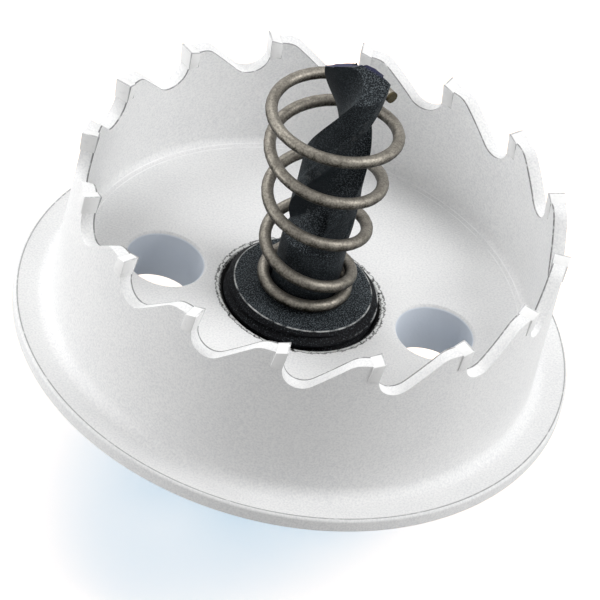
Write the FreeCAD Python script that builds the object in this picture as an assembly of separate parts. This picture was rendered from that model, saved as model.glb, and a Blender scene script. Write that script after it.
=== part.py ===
"""Flanged hole cutter: a toothed steel cup on an arbor, with a pilot drill and an ejector spring.

The origin is the centre of the shank's end face and +Z runs up the axis to the drill's point.
The slug holes lie on the X axis.
"""
import math
import os

import FreeCAD
import Part

Vector = FreeCAD.Vector
UP = Vector(0, 0, 1)
ORIGIN = Vector(0, 0, 0)

# Cutter cup, a 2 inch cutter
CUT_DIAMETER = 50.8
CUP_HEIGHT = 19.65
KERF_WIDTH = 1.87
TIP_OVERHANG_OUTER = 0.24
TIP_OVERHANG_INNER = 0.18
FLANGE_WIDTH = 3.3
FLANGE_THICKNESS = 1.6
FLANGE_FILLET = 1.3
RIM_ROUND = 0.25
BASE_THICKNESS = 6.0
FLOOR_FILLET = 0.8
SLUG_HOLE_DIAMETER = 7.94
SLUG_HOLE_PLACE_RADIUS = 14.16
SLUG_HOLE_COUNT = 2
SLUG_HOLE_CHAMFER = 0.3

# Teeth: the rake face leads and faces counter-clockwise seen from above
TOOTH_COUNT = 16
FIRST_TOOTH_ANGLE = 114.3
RAKE_HOOK_ANGLE = 6.0
FLANK_SLOPE_ANGLE = 42.0
GULLET_DEPTH = 4.3
GULLET_RADIUS = 1.95
SHOULDER_DROP = 0.4
SHOULDER_ROUND = 2.0

# Carbide tips
TIP_LENGTH = 1.2
TIP_DEPTH = 2.4
TIP_SIDE_TAPER_ANGLE = 3.0
TIP_BACK_TAPER = 0.06

# Thread between the arbor's nose and the cup, 5/8 inch across its crests
THREAD_DIAMETER = 15.875
THREAD_CLEARANCE = 0.02
FLOOR_THREAD_CHAMFER = 0.5
UNDERSIDE_THREAD_CHAMFER = 0.4

# Arbor
NOSE_STAND_OUT = 1.5
NOSE_CHAMFER = 0.85
COLLAR_DIAMETER = 19.0
COLLAR_HEIGHT = 7.0
COLLAR_CHAMFER = 0.6
RELIEF_GROOVE_WIDTH = 1.2
RELIEF_GROOVE_DEPTH = 0.9
SHANK_ACROSS_FLATS = 11.11
SHANK_LENGTH = 12.0
SHANK_CHAMFER = 0.5
SHANK_NECK_WIDTH = 1.0
SHANK_NECK_DEPTH = 0.5

# Pilot drill
DRILL_DIAMETER = 6.8
DRILL_CLEARANCE = 0.015
DRILL_STAND_OUT = 29.27
DRILL_SEAT_HEIGHT = 4.0
DRILL_BUTT_CHAMFER = 0.4
BORE_COUNTERSINK = 0.35
FLUTE_COUNT = 2
FLUTE_LENGTH = 22.5
FLUTE_LEAD = 37.0
FLUTE_RUN_OUT = 5.0
LIP_DIRECTION_ANGLE = -10.0
FLUTE_ROOT_START = 0.6
FLUTE_HEEL_ANGLE = 117.0
WEB_THICKNESS = 0.9
POINT_ANGLE = 135.0
LIP_RELIEF_ANGLE = 31.0
DRILL_FLAT_DEPTH = 0.35
DRILL_FLAT_LENGTH = 6.0

# Set screw in the collar
SCREW_DIAMETER = 5.0
SCREW_CLEARANCE = 0.02
SCREW_RECESS = 0.4
SCREW_SOCKET_ACROSS_FLATS = 2.5
SCREW_SOCKET_DEPTH = 2.6
SCREW_POINT_LENGTH = 1.0
SCREW_POINT_DIAMETER = 3.0
SCREW_POINT_GAP = 0.02

# Ejector spring, wound left-handed, small end down
WIRE_DIAMETER = 1.26
SPRING_TURN_COUNT = 5.3
SPRING_TOP_RADIUS = 6.7
SPRING_GRIP_CLEARANCE = 0.25
SPRING_SEAT_CLEARANCE = 0.02
SPRING_COIL_PITCH = 6.05
SPRING_TOP_END_PITCH = 0.3
SPRING_BOTTOM_END_PITCH = 0.4
SPRING_TOP_END_ANGLE = 44.0
SPRING_OPENING_TURN_COUNTS = (0.45, 0.85)
SPRING_CLOSING_TURN_COUNTS = (3.75, 4.55)
SPRING_LEAN_ANGLE = 2.5
SPRING_TURN_POINT_COUNT = 10

# Places that follow from the sizes
FLANGE_UNDERSIDE = SHANK_LENGTH + COLLAR_HEIGHT
FLANGE_TOP = FLANGE_UNDERSIDE + FLANGE_THICKNESS
FLOOR = FLANGE_UNDERSIDE + BASE_THICKNESS
TIP_TOP = FLANGE_UNDERSIDE + CUP_HEIGHT
SHOULDER_TOP = TIP_TOP - SHOULDER_DROP
CUT_RADIUS = CUT_DIAMETER / 2
WALL_OUTER_RADIUS = CUT_RADIUS - TIP_OVERHANG_OUTER
WALL_INNER_RADIUS = CUT_RADIUS - KERF_WIDTH + TIP_OVERHANG_INNER
FLANGE_RADIUS = CUT_RADIUS + FLANGE_WIDTH
THREAD_RADIUS = THREAD_DIAMETER / 2
NOSE_TOP = FLOOR + NOSE_STAND_OUT
DRILL_RADIUS = DRILL_DIAMETER / 2
DRILL_TIP = NOSE_TOP + DRILL_STAND_OUT
COLLAR_RADIUS = COLLAR_DIAMETER / 2
SCREW_HEIGHT = SHANK_LENGTH + COLLAR_HEIGHT / 2
PITCH_ANGLE = 360.0 / TOOTH_COUNT
# Cutting solids reach this far past the faces that they cut
MARGIN = 1.0
# Edges nearer than this to a stated place are taken to be at it
SAME_PLACE = 0.0001
# The twisted faces of the flutes are only this exact, so they are cut with this tolerance
TWIST_TOLERANCE = 0.001


def degrees_sin(angle):
    return math.sin(math.radians(angle))


def degrees_cos(angle):
    return math.cos(math.radians(angle))


def degrees_tan(angle):
    return math.tan(math.radians(angle))


def line(start, end):
    return Part.LineSegment(start, end).toShape()


def arc(start, middle, end):
    return Part.Arc(start, middle, end).toShape()


def polygon_face(points):
    return Part.Face(Part.makePolygon(points + [points[0]]))


def turned(profile):
    """Revolve a closed list of (radius, height) corners about the axis."""
    return polygon_face([Vector(r, 0, z) for r, z in profile]).revolve(ORIGIN, UP, 360)


def about_axis(shape, angle):
    """A copy of the shape, turned about the tool's axis."""
    copy = shape.copy()
    copy.rotate(ORIGIN, UP, angle)
    return copy


def edges_on_circle(shape, radius, height):
    """The full circles of one radius about the axis at one height."""
    found = []
    for edge in shape.Edges:
        curve = edge.Curve
        if isinstance(curve, Part.Circle) and abs(curve.Radius - radius) < SAME_PLACE:
            centre = curve.Center
            if abs(centre.z - height) < SAME_PLACE and math.hypot(centre.x, centre.y) < SAME_PLACE:
                found.append(edge)
    return found


def turned_cup():
    """The cup before its teeth are milled: flange, thick base and thin wall."""
    hole = THREAD_RADIUS + THREAD_CLEARANCE
    cup = turned([
        (hole + UNDERSIDE_THREAD_CHAMFER, FLANGE_UNDERSIDE),
        (FLANGE_RADIUS, FLANGE_UNDERSIDE),
        (FLANGE_RADIUS, FLANGE_TOP),
        (WALL_OUTER_RADIUS, FLANGE_TOP),
        (WALL_OUTER_RADIUS, SHOULDER_TOP),
        (WALL_INNER_RADIUS, SHOULDER_TOP),
        (WALL_INNER_RADIUS, FLOOR),
        (hole + FLOOR_THREAD_CHAMFER, FLOOR),
        (hole, FLOOR - FLOOR_THREAD_CHAMFER),
        (hole, FLANGE_UNDERSIDE + UNDERSIDE_THREAD_CHAMFER),
    ])
    cup = cup.makeFillet(FLOOR_FILLET, edges_on_circle(cup, WALL_INNER_RADIUS, FLOOR))
    cup = cup.makeFillet(FLANGE_FILLET, edges_on_circle(cup, WALL_OUTER_RADIUS, FLANGE_TOP))
    rim = edges_on_circle(cup, FLANGE_RADIUS, FLANGE_TOP)
    rim += edges_on_circle(cup, FLANGE_RADIUS, FLANGE_UNDERSIDE)
    return cup.makeFillet(RIM_ROUND, rim)


def slug_holes():
    """Knock-out holes through the base, with a small chamfer at both mouths."""
    radius = SLUG_HOLE_DIAMETER / 2
    wide = radius + SLUG_HOLE_CHAMFER + MARGIN
    drill = turned([
        (0, FLANGE_UNDERSIDE - MARGIN),
        (wide, FLANGE_UNDERSIDE - MARGIN),
        (radius, FLANGE_UNDERSIDE + SLUG_HOLE_CHAMFER),
        (radius, FLOOR - SLUG_HOLE_CHAMFER),
        (wide, FLOOR + MARGIN),
        (0, FLOOR + MARGIN),
    ])
    drill.translate(Vector(SLUG_HOLE_PLACE_RADIUS, 0, 0))
    step = 360.0 / SLUG_HOLE_COUNT
    return [about_axis(drill, step * index) for index in range(SLUG_HOLE_COUNT)]


def gullet_cutter():
    """The milled gullet ahead of a tooth whose cutting edge lies on the X axis.

    Its section lies in the Y and Z plane: the hooked rake face of this tooth, a round bottom and
    the sloping flank of the tooth ahead, which rounds over into that tooth's flat shoulder.
    """
    hook_sin = degrees_sin(RAKE_HOOK_ANGLE)
    hook_cos = degrees_cos(RAKE_HOOK_ANGLE)
    slope_sin = degrees_sin(FLANK_SLOPE_ANGLE)
    slope_cos = degrees_cos(FLANK_SLOPE_ANGLE)
    centre_z = GULLET_RADIUS - GULLET_DEPTH
    centre_y = (GULLET_RADIUS + centre_z * hook_sin) / hook_cos
    # The flank leaves the round bottom along its tangent and meets the shoulder's rounding
    leave_y = centre_y + GULLET_RADIUS * slope_sin
    leave_z = centre_z - GULLET_RADIUS * slope_cos
    round_z = -SHOULDER_DROP - SHOULDER_ROUND
    meet_z = round_z + SHOULDER_ROUND * slope_cos
    meet_y = leave_y + (meet_z - leave_z) * slope_cos / slope_sin
    round_y = meet_y + SHOULDER_ROUND * slope_sin
    half = FLANK_SLOPE_ANGLE / 2
    start = WALL_INNER_RADIUS * degrees_cos(PITCH_ANGLE) - MARGIN

    def at(y, z):
        return Vector(start, y, TIP_TOP + z)

    rake_top = at(MARGIN * hook_sin / hook_cos, MARGIN)
    rake_foot = at(centre_y - GULLET_RADIUS * hook_cos, centre_z + GULLET_RADIUS * hook_sin)
    bottom = at(centre_y, centre_z - GULLET_RADIUS)
    flank_foot = at(leave_y, leave_z)
    flank_top = at(meet_y, meet_z)
    rounding = at(round_y - SHOULDER_ROUND * degrees_sin(half), round_z + SHOULDER_ROUND * degrees_cos(half))
    shoulder = at(round_y, -SHOULDER_DROP)
    above = at(round_y, MARGIN)
    section = Part.Wire([
        line(rake_top, rake_foot),
        arc(rake_foot, bottom, flank_foot),
        line(flank_foot, flank_top),
        arc(flank_top, rounding, shoulder),
        line(shoulder, above),
        line(above, rake_top),
    ])
    return Part.Face(section).extrude(Vector(CUT_RADIUS + MARGIN - start, 0, 0))


def tip_seat_cutter():
    """The notch in the front of a tooth that its carbide tip is brazed into."""
    hook = degrees_tan(RAKE_HOOK_ANGLE)
    start = WALL_INNER_RADIUS - MARGIN
    corners = [
        (MARGIN * hook + MARGIN / 2, MARGIN),
        (MARGIN * hook - TIP_LENGTH, MARGIN),
        (-TIP_DEPTH * hook - TIP_LENGTH, -TIP_DEPTH),
        (-TIP_DEPTH * hook + MARGIN / 2, -TIP_DEPTH),
    ]
    face = polygon_face([Vector(start, y, TIP_TOP + z) for y, z in corners])
    return face.extrude(Vector(CUT_RADIUS + MARGIN - start, 0, 0))


def carbide_tip():
    """One carbide tip, with its cutting edge on the X axis.

    It is wider than the wall at its edge and narrows downwards and backwards, so that only the
    edge rubs in the cut. Its top falls away behind the edge to the height of the tooth's shoulder.
    """
    hook = degrees_tan(RAKE_HOOK_ANGLE)
    outer = CUT_RADIUS
    inner = CUT_RADIUS - KERF_WIDTH
    side_taper = TIP_DEPTH * degrees_tan(TIP_SIDE_TAPER_ANGLE)
    back_share = (TIP_DEPTH - SHOULDER_DROP) / TIP_DEPTH

    def quad(y_shift, top_z, narrowing, taper):
        top_y = y_shift + top_z * hook
        foot_y = y_shift - TIP_DEPTH * hook
        return Part.makePolygon([
            Vector(outer - narrowing, top_y, TIP_TOP + top_z),
            Vector(inner + narrowing, top_y, TIP_TOP + top_z),
            Vector(inner + narrowing + taper, foot_y, TIP_TOP - TIP_DEPTH),
            Vector(outer - narrowing - taper, foot_y, TIP_TOP - TIP_DEPTH),
            Vector(outer - narrowing, top_y, TIP_TOP + top_z),
        ])

    front = quad(0, 0, 0, side_taper)
    back = quad(-TIP_LENGTH, -SHOULDER_DROP, TIP_BACK_TAPER, side_taper * back_share)
    return Part.makeLoft([front, back], True, True)


def tooth_angles():
    return [FIRST_TOOTH_ANGLE + PITCH_ANGLE * index for index in range(TOOTH_COUNT)]


def cutter_body():
    gullet = gullet_cutter()
    seat = tip_seat_cutter()
    cutters = slug_holes()
    for angle in tooth_angles():
        cutters.append(about_axis(gullet, angle))
        cutters.append(about_axis(seat, angle))
    return turned_cup().cut(cutters)


def screw_axis_cylinder(radius, near, far):
    """A cylinder on the set screw's axis, between two distances from the tool's axis."""
    return Part.makeCylinder(radius, far - near, Vector(0, -near, SCREW_HEIGHT), Vector(0, -1, 0))


def hexagon(across_flats, centre, direction, length):
    """A hexagonal prism that starts at a point and runs along a direction."""
    radius = across_flats / 2 / degrees_cos(30)
    side = Vector(1, 0, 0)
    up = direction.cross(side)
    corners = []
    for index in range(6):
        angle = 60 * index
        corners.append(centre + side * (radius * degrees_cos(angle)) + up * (radius * degrees_sin(angle)))
    return polygon_face(corners).extrude(direction * length)


def hex_shank():
    """The hexagonal shank, with both ends turned to a chamfer."""
    corner_radius = SHANK_ACROSS_FLATS / 2 / degrees_cos(30)
    hex_length = SHANK_LENGTH - SHANK_NECK_WIDTH
    end_radius = corner_radius - SHANK_CHAMFER
    envelope = turned([
        (0, 0),
        (end_radius, 0),
        (corner_radius, SHANK_CHAMFER),
        (corner_radius, hex_length - SHANK_CHAMFER),
        (end_radius, hex_length),
        (0, hex_length),
    ])
    return hexagon(SHANK_ACROSS_FLATS, ORIGIN, UP, hex_length).common(envelope)


def arbor():
    """Threaded nose, collar and shank, bored for the pilot drill and tapped for its set screw."""
    neck_radius = SHANK_ACROSS_FLATS / 2 - SHANK_NECK_DEPTH
    groove_radius = THREAD_RADIUS - RELIEF_GROOVE_DEPTH
    upper = turned([
        (0, SHANK_LENGTH - SHANK_NECK_WIDTH),
        (neck_radius, SHANK_LENGTH - SHANK_NECK_WIDTH),
        (neck_radius, SHANK_LENGTH),
        (COLLAR_RADIUS - COLLAR_CHAMFER, SHANK_LENGTH),
        (COLLAR_RADIUS, SHANK_LENGTH + COLLAR_CHAMFER),
        (COLLAR_RADIUS, FLANGE_UNDERSIDE - COLLAR_CHAMFER),
        (COLLAR_RADIUS - COLLAR_CHAMFER, FLANGE_UNDERSIDE),
        (groove_radius, FLANGE_UNDERSIDE),
        (groove_radius, FLANGE_UNDERSIDE + RELIEF_GROOVE_WIDTH),
        (THREAD_RADIUS, FLANGE_UNDERSIDE + RELIEF_GROOVE_WIDTH + RELIEF_GROOVE_DEPTH),
        (THREAD_RADIUS, NOSE_TOP - NOSE_CHAMFER),
        (THREAD_RADIUS - NOSE_CHAMFER, NOSE_TOP),
        (0, NOSE_TOP),
    ])
    bore_radius = DRILL_RADIUS + DRILL_CLEARANCE
    bore = turned([
        (0, DRILL_SEAT_HEIGHT),
        (bore_radius, DRILL_SEAT_HEIGHT),
        (bore_radius, NOSE_TOP - BORE_COUNTERSINK),
        (bore_radius + BORE_COUNTERSINK + MARGIN, NOSE_TOP + MARGIN),
        (0, NOSE_TOP + MARGIN),
    ])
    tapped_hole = screw_axis_cylinder(SCREW_DIAMETER / 2 + SCREW_CLEARANCE, 0, COLLAR_RADIUS + MARGIN)
    return upper.fuse(hex_shank()).cut([bore, tapped_hole]).removeSplitter()


def flute_section():
    """The section of one flute's empty space, ahead of a lip that lies along the X axis."""
    web = WEB_THICKNESS / 2
    outside = DRILL_RADIUS + MARGIN
    heel = Vector(DRILL_RADIUS * degrees_cos(FLUTE_HEEL_ANGLE), DRILL_RADIUS * degrees_sin(FLUTE_HEEL_ANGLE), 0)
    inner = Vector(FLUTE_ROOT_START, web, 0)
    # The round root leaves the lip's face along its tangent and ends at the heel
    across = inner.x - heel.x
    rise = heel.y - web
    radius = (across * across + rise * rise) / (2 * rise)
    centre = Vector(inner.x, web + radius, 0)
    heel_angle = math.atan2(heel.y - centre.y, heel.x - centre.x)
    if heel_angle > 0:
        heel_angle -= 2 * math.pi
    middle_angle = (heel_angle - math.pi / 2) / 2
    middle = centre + Vector(math.cos(middle_angle), math.sin(middle_angle), 0) * radius
    outer_lip = Vector(outside, web, 0)
    outer_corner = Vector(outside, outside, 0)
    outer_heel = Vector(heel.x, outside, 0)
    return Part.Wire([
        line(outer_lip, inner),
        arc(inner, middle, heel),
        line(heel, outer_heel),
        line(outer_heel, outer_corner),
        line(outer_corner, outer_lip),
    ])


def flute_space(length):
    """One flute's empty space, twisted right-handed about the axis from height 0."""
    spine = Part.Wire([line(ORIGIN, UP * length)])
    guide = Part.makeHelix(FLUTE_LEAD, length, DRILL_RADIUS)
    sweep = Part.BRepOffsetAPI.MakePipeShell(spine)
    sweep.setAuxiliarySpine(Part.Wire(guide.Edges), True, 0)
    sweep.add(flute_section(), False, False)
    sweep.build()
    sweep.makeSolid()
    return sweep.shape()


def point_cutter():
    """The space above one ground facet of the point, for a lip that lies along the X axis."""
    size = 4 * DRILL_DIAMETER
    box = Part.makeBox(size, size, size, Vector(-size / 2, -size / 2, 0))
    box.rotate(ORIGIN, Vector(0, 1, 0), 90 - POINT_ANGLE / 2)
    box.rotate(ORIGIN, Vector(1, 0, 0), LIP_RELIEF_ANGLE)
    box.translate(Vector(0, 0, DRILL_TIP))
    return box


def pilot_drill():
    """Plain shank with a flat for the set screw, two helical flutes and a ground point."""
    blank = turned([
        (0, DRILL_SEAT_HEIGHT),
        (DRILL_RADIUS - DRILL_BUTT_CHAMFER, DRILL_SEAT_HEIGHT),
        (DRILL_RADIUS, DRILL_SEAT_HEIGHT + DRILL_BUTT_CHAMFER),
        (DRILL_RADIUS, DRILL_TIP),
        (0, DRILL_TIP),
    ])
    flute_start = DRILL_TIP - FLUTE_LENGTH
    # The grinding wheel leaves a cone of metal where each flute runs out into the shank
    run_out = turned([
        (0, flute_start - FLUTE_RUN_OUT),
        (2 * DRILL_RADIUS, flute_start - FLUTE_RUN_OUT),
        (0, flute_start + FLUTE_RUN_OUT),
    ])
    below = 2 * MARGIN
    space = flute_space(below + FLUTE_LENGTH + MARGIN)
    space.translate(UP * (flute_start - below))
    space = space.cut(run_out, TWIST_TOLERANCE)
    # The lips have their stated direction at the height of their outer corners
    lip_height = below + FLUTE_LENGTH - DRILL_RADIUS / degrees_tan(POINT_ANGLE / 2)
    cutters = []
    for index in range(FLUTE_COUNT):
        turn = LIP_DIRECTION_ANGLE + 360.0 / FLUTE_COUNT * index
        cutters.append(about_axis(space, turn - 360.0 * lip_height / FLUTE_LEAD))
        cutters.append(about_axis(point_cutter(), turn))
    flat_start = DRILL_RADIUS - DRILL_FLAT_DEPTH
    flat = Part.makeBox(DRILL_DIAMETER, MARGIN, DRILL_FLAT_LENGTH)
    flat.translate(Vector(-DRILL_RADIUS, -flat_start - MARGIN, SCREW_HEIGHT - DRILL_FLAT_LENGTH / 2))
    cutters.append(flat)
    drill = blank.cut(cutters, TWIST_TOLERANCE)
    flute_volume = blank.common(space, TWIST_TOLERANCE).Volume
    if drill.Volume > blank.Volume - FLUTE_COUNT * flute_volume:
        raise ValueError("a flute of the pilot drill was not cut")
    return drill


def pilot_set_screw():
    """A socket set screw whose point bears on the flat of the drill's shank."""
    radius = SCREW_DIAMETER / 2
    point = DRILL_RADIUS - DRILL_FLAT_DEPTH + SCREW_POINT_GAP
    head = COLLAR_RADIUS - SCREW_RECESS
    thread = screw_axis_cylinder(radius, point + SCREW_POINT_LENGTH, head)
    cone = Part.makeCone(SCREW_POINT_DIAMETER / 2, radius, SCREW_POINT_LENGTH,
                         Vector(0, -point, SCREW_HEIGHT), Vector(0, -1, 0))
    mouth = Vector(0, -head, SCREW_HEIGHT)
    socket = hexagon(SCREW_SOCKET_ACROSS_FLATS, mouth, Vector(0, 1, 0), SCREW_SOCKET_DEPTH)
    return thread.fuse(cone).cut(socket).removeSplitter()


def coil_pitch(turns):
    """The fall of the wire for each turn, at a number of turns from the top end."""
    def blend(low, high):
        return min(max((turns - low) / (high - low), 0), 1)

    opening = blend(*SPRING_OPENING_TURN_COUNTS)
    closing = blend(*SPRING_CLOSING_TURN_COUNTS)
    pitch = SPRING_TOP_END_PITCH + (SPRING_COIL_PITCH - SPRING_TOP_END_PITCH) * opening
    return pitch + (SPRING_BOTTOM_END_PITCH - pitch) * closing


def ejector_spring():
    """Conical wire spring whose small bottom coil grips the drill on top of the arbor's nose."""
    wire_radius = WIRE_DIAMETER / 2
    bottom_radius = DRILL_RADIUS + SPRING_GRIP_CLEARANCE + wire_radius
    lean = degrees_tan(SPRING_LEAN_ANGLE)
    steps = round(SPRING_TURN_COUNT * SPRING_TURN_POINT_COUNT)
    turn_step = SPRING_TURN_COUNT / steps
    rises = [0.0]
    for index in reversed(range(steps)):
        rises.append(rises[-1] + coil_pitch((index + 0.5) * turn_step) * turn_step)
    rises.reverse()
    seat = NOSE_TOP + SPRING_SEAT_CLEARANCE + wire_radius
    points = []
    for index, rise in enumerate(rises):
        share = rise / rises[0]
        radius = bottom_radius + (SPRING_TOP_RADIUS - bottom_radius) * share
        angle = SPRING_TOP_END_ANGLE + 360 * index * turn_step
        across = radius * degrees_cos(angle)
        # The upper coils lean a little to one side of the drill, and tip over with it
        points.append(Vector(across - lean * rise,
                             radius * degrees_sin(angle),
                             seat + rise + lean * across * share))
    curve = Part.BSplineCurve()
    curve.interpolate(points)
    path = Part.Wire([curve.toShape()])
    section = Part.Wire([Part.Circle(points[0], curve.tangent(0)[0], wire_radius).toShape()])
    return path.makePipeShell([section], True, True)


def main():
    parts = {
        "cutter_body": cutter_body(),
        "arbor": arbor(),
        "pilot_drill": pilot_drill(),
        "pilot_set_screw": pilot_set_screw(),
        "ejector_spring": ejector_spring(),
    }
    tip = carbide_tip()
    for number, angle in enumerate(tooth_angles(), start=1):
        parts["carbide_tip_%02d" % number] = about_axis(tip, angle)
    os.makedirs("parts", exist_ok=True)
    for name, shape in parts.items():
        solid = shape.Solids[0]
        solid.exportStep("parts/%s.step" % name)
        print(name, "solids", len(shape.Solids), "valid", shape.isValid(), "volume", round(shape.Volume, 2))


main()
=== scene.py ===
"""A flanged hole cutter with carbide tips, a pilot drill and an ejector spring, on its arbor."""
import math

import bpy
from mathutils import Matrix, Vector


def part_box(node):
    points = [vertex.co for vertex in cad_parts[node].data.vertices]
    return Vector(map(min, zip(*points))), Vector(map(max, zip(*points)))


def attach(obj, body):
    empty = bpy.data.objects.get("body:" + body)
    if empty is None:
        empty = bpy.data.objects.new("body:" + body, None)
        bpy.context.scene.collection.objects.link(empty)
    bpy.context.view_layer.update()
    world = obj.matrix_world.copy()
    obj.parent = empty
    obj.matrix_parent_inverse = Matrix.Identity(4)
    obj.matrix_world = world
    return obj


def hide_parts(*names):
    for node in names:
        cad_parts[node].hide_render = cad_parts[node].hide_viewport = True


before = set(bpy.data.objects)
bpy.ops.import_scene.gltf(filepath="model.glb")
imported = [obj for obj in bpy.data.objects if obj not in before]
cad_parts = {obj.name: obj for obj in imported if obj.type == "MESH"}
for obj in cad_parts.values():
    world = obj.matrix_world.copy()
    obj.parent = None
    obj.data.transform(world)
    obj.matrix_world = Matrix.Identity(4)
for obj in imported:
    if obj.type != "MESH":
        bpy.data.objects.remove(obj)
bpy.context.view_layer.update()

# The bench is a plain white sheet, and the cutter's shadow on it is pale and bluish. Soft lamps stand
# high on the right and behind on the left, low on both sides and almost level at the front left, so
# the front of the cutter is its shaded side.
FLOOR_WIDTH = 3.0
FLOOR_WHITE = (0.45, 0.45, 0.45, 1)
BENCH_HEIGHT = -0.00002
SHADOW_TINT = (0.02, 0.37, 0.63, 1)
SHADOW_FADE = (1.58, 1.0, 0.59, 1)
BACKDROP_WHITE = (1.0, 1.0, 1.0, 1)
SKY_LIGHT = (0.333, 0.333, 0.333, 1)
LAMP_DISTANCE = 0.5
LAMP_WIDTH = 0.25
LAMP_AIM = Vector((0, 0, 0.025))


class Wire:
    """A value in a finish. An operator on it adds the Math node that works it out."""

    def __init__(self, finish, socket):
        self.finish = finish
        self.socket = socket

    def maths(self, operation, *values):
        inputs = dict(enumerate((self,) + values))
        return self.finish.add("Math", {"operation": operation}, inputs)

    def __add__(self, other):
        return self.maths("ADD", other)

    def __radd__(self, other):
        return self + other

    def __sub__(self, other):
        return self.maths("SUBTRACT", other)

    def __rsub__(self, other):
        return self * -1 + other

    def __mul__(self, other):
        return self.maths("MULTIPLY", other)

    def __rmul__(self, other):
        return self * other

    def __truediv__(self, other):
        return self.maths("DIVIDE", other)

    def __pow__(self, other):
        return self.maths("POWER", other)

    def part(self, name, kind):
        """One part of a vector or colour, by the node that takes it apart."""
        return self.finish.add(kind, inputs={0: self}, output=name)

    def above(self, low, high):
        """0 below low, 1 above high and a smooth ramp between them."""
        settings = {"interpolation_type": "SMOOTHSTEP"}
        inputs = {"Value": self, "From Min": low, "From Max": high}
        return self.finish.add("MapRange", settings, inputs)

    def near(self, middle, reach):
        """1 at a value and 0 from a reach away on either side of it."""
        return self.above(middle - reach, middle) * (1 - self.above(middle, middle + reach))


class Finish:
    """A material that is built up node by node."""

    def __init__(self, name):
        self.material = bpy.data.materials.new(name)
        self.material.use_nodes = True
        self.tree = self.material.node_tree
        self.shader = self.tree.nodes["Principled BSDF"]
        self.surface = self.tree.nodes["Material Output"].inputs["Surface"]

    def feed(self, socket, value):
        if isinstance(value, Wire):
            self.tree.links.new(value.socket, socket)
        else:
            socket.default_value = value

    def add(self, kind, settings=None, inputs=None, output=0):
        node = self.tree.nodes.new("ShaderNode" + kind)
        for name, value in (settings or {}).items():
            setattr(node, name, value)
        for name, value in (inputs or {}).items():
            self.feed(node.inputs[name], value)
        return Wire(self, node.outputs[output])

    def mix(self, factor, first, second):
        """A colour between two others."""
        settings = {"data_type": "RGBA"}
        return self.add("Mix", settings, {0: factor, 6: first, 7: second}, output=2)

    def place(self):
        return self.add("TexCoord", output="Object")

    def facing_up(self):
        """The height of the surface's own direction, from -1 for undersides to 1 for tops."""
        return self.add("TexCoord", output="Normal").part("Z", "SeparateXYZ")

    def facing_axis(self):
        """1 where the surface squarely faces the tool's axis."""
        facing, place = self.add("TexCoord", output="Normal"), self.place()
        dots = [facing.part(name, "SeparateXYZ") * place.part(name, "SeparateXYZ") for name in "XY"]
        return (dots[0] + dots[1]) * -1 / self.from_axis()

    def from_axis(self):
        """The distance from the tool's axis."""
        place = self.place()
        x, y = place.part("X", "SeparateXYZ"), place.part("Y", "SeparateXYZ")
        return (x * x + y * y) ** 0.5

    def height(self):
        return self.place().part("Z", "SeparateXYZ")

    def noise(self, size, detail=2.0, roughness=0.5):
        """Noise with blots of about the given size in metres."""
        inputs = {"Vector": self.place(), "Scale": 1 / size, "Detail": detail,
                  "Roughness": roughness}
        return self.add("TexNoise", inputs=inputs)

    def bump(self, height, depth):
        """A bump whose height runs from 0 to 1 over a depth in metres."""
        return self.add("Bump", inputs={"Height": height, "Distance": depth, "Strength": 1.0})

    def coat(self, **inputs):
        """Set the shader's own sockets, by their names with underscores for spaces."""
        for name, value in inputs.items():
            self.feed(self.shader.inputs[name.replace("_", " ")], value)
        return self.material


bpy.ops.object.select_all(action="DESELECT")
bpy.ops.mesh.primitive_plane_add(size=FLOOR_WIDTH, location=(0, 0, BENCH_HEIGHT))
floor = bpy.context.object
floor.name = "floor"
bench = Finish("bench")
bench.coat(Base_Color=FLOOR_WHITE, Roughness=1.0, Specular_IOR_Level=0.0)
glow = bench.add("Emission", inputs={"Color": SHADOW_TINT, "Strength": 1.0})
pale = bench.add("BsdfDiffuse", inputs={"Color": SHADOW_FADE})
lit = bench.add("AddShader", inputs={0: glow, 1: pale})
white = bench.add("Emission", inputs={"Color": BACKDROP_WHITE, "Strength": 1.0})
plain = Wire(bench, bench.shader.outputs[0])
seen = bench.add("LightPath", output="Is Camera Ray")
mirrored = bench.add("LightPath", output="Is Glossy Ray")
mirrored = mirrored + bench.add("LightPath", output="Is Transmission Ray")
look = bench.add("MixShader", inputs={0: mirrored, 1: plain, 2: white})
bench.feed(bench.surface, bench.add("MixShader", inputs={0: seen, 1: look, 2: lit}))
floor.data.materials.append(bench.material)

world = bpy.data.worlds.new("room")
bpy.context.scene.world = world
world.use_nodes = True
sky = world.node_tree
air = sky.nodes["Background"]
air.inputs["Color"].default_value = SKY_LIGHT
backdrop = sky.nodes.new("ShaderNodeBackground")
backdrop.inputs["Color"].default_value = BACKDROP_WHITE
rays = sky.nodes.new("ShaderNodeLightPath")
choice = sky.nodes.new("ShaderNodeMixShader")
seen_or_glossy = sky.nodes.new("ShaderNodeMath")
seen_at_all = sky.nodes.new("ShaderNodeMath")
sky.links.new(rays.outputs["Is Camera Ray"], seen_or_glossy.inputs[0])
sky.links.new(rays.outputs["Is Glossy Ray"], seen_or_glossy.inputs[1])
sky.links.new(seen_or_glossy.outputs[0], seen_at_all.inputs[0])
sky.links.new(rays.outputs["Is Transmission Ray"], seen_at_all.inputs[1])
sky.links.new(seen_at_all.outputs[0], choice.inputs[0])
sky.links.new(air.outputs[0], choice.inputs[1])
sky.links.new(backdrop.outputs[0], choice.inputs[2])
sky.links.new(choice.outputs[0], sky.nodes["World Output"].inputs["Surface"])


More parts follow.
